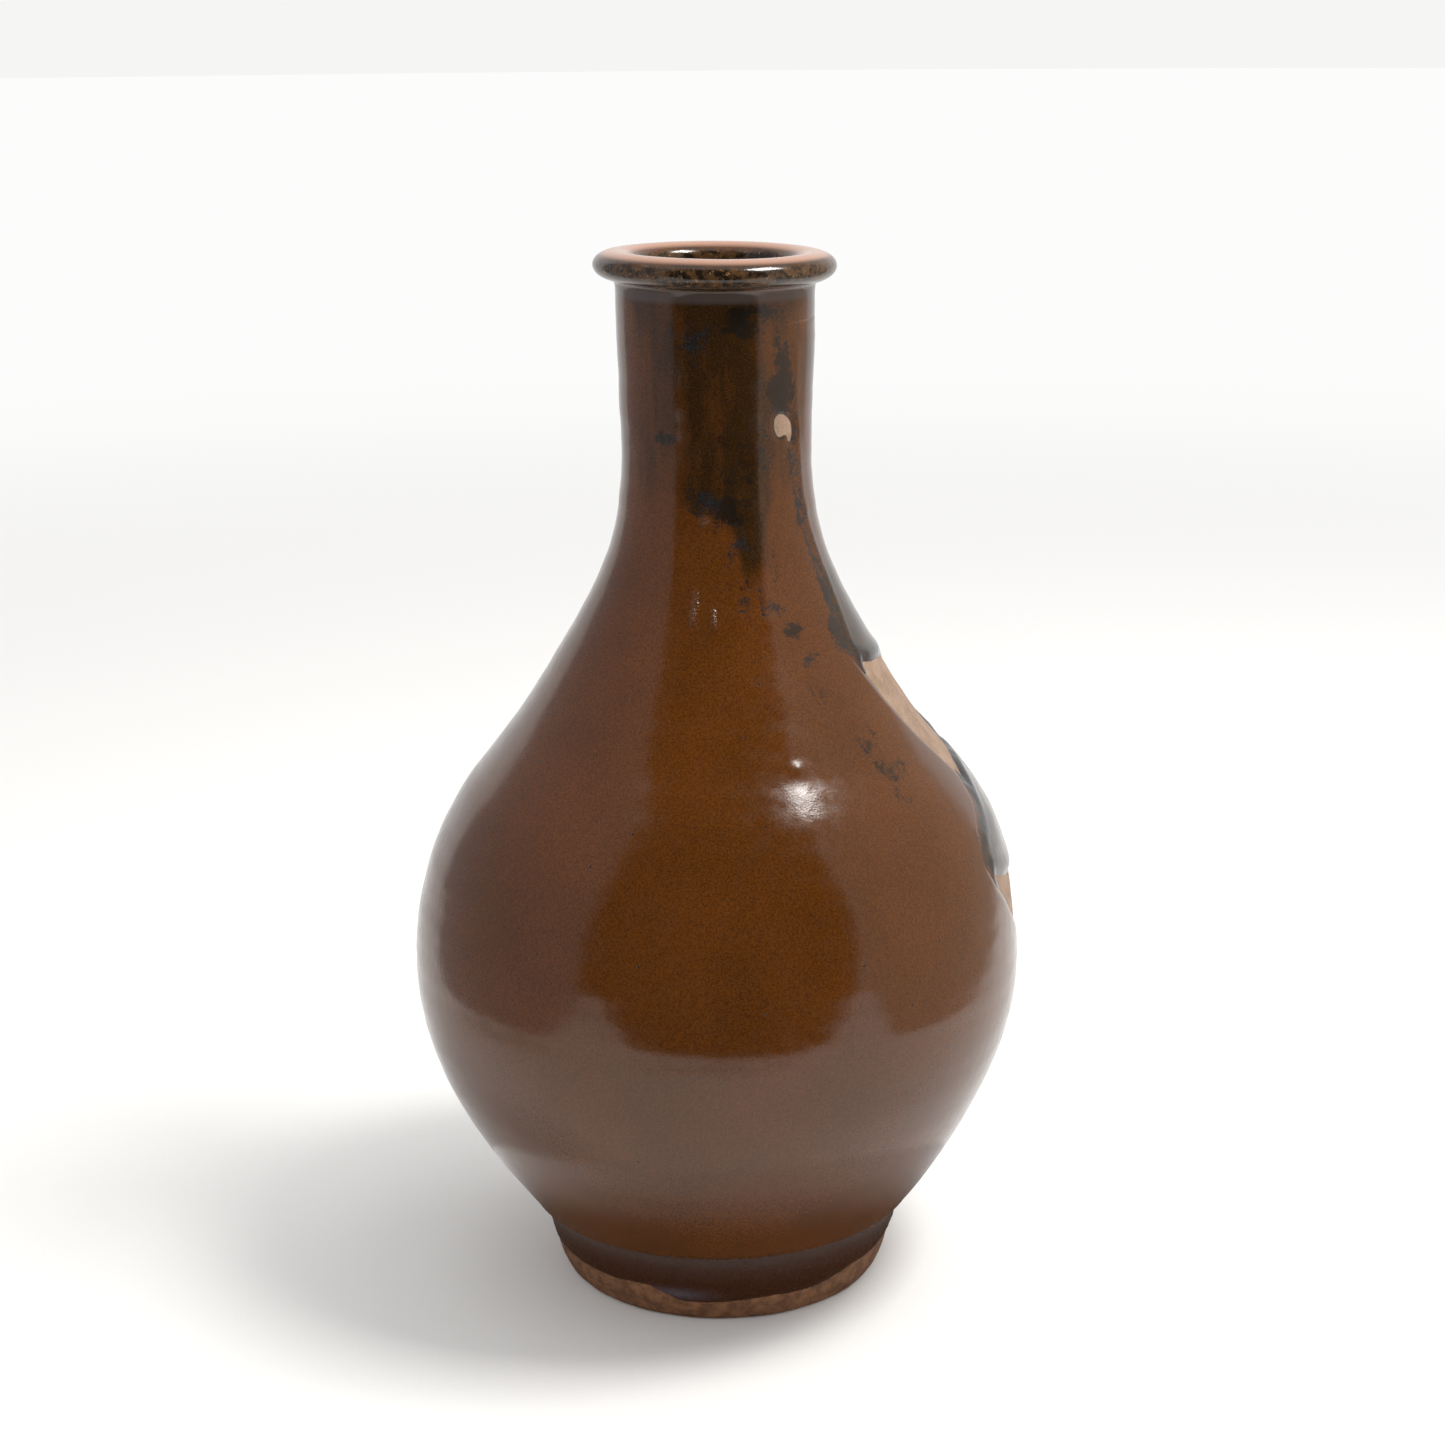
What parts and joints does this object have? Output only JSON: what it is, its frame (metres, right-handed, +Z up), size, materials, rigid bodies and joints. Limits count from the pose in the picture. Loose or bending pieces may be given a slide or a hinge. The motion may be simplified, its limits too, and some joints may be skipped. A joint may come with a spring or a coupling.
{
  "type": "sake bottle",
  "caption": "Hand-thrown stoneware sake bottle with a round belly, tall neck, rolled lip and foot ring, in brown glaze with a dark pour and bare clay windows.",
  "frame": {"origin": "centre of the foot ring's underside, on the surface that the bottle stands on", "axes": "+Z up along the bottle's turning axis, -Y towards the front, the poured glaze on the +X side"},
  "size_m": [0.1582, 0.1582, 0.27],
  "materials": {
    "stoneware_clay": "bare fired stoneware, matt and gritty",
    "brown_glaze": "glossy iron-brown glaze with fine speckle",
    "dark_glaze": "glossy blue-black glaze over brown",
    "liner_glaze": "glossy brown liner glaze"
  },
  "bodies": {
    "root": {"foot_ring": "stoneware_clay", "lower_body": "stoneware_clay", "shoulder_section": "stoneware_clay", "neck_section": "stoneware_clay", "rolled_lip": "stoneware_clay", "inner_glaze": "liner_glaze", "brown_glaze": "brown_glaze", "poured_glaze": "dark_glaze"}
  },
  "joints": []
}
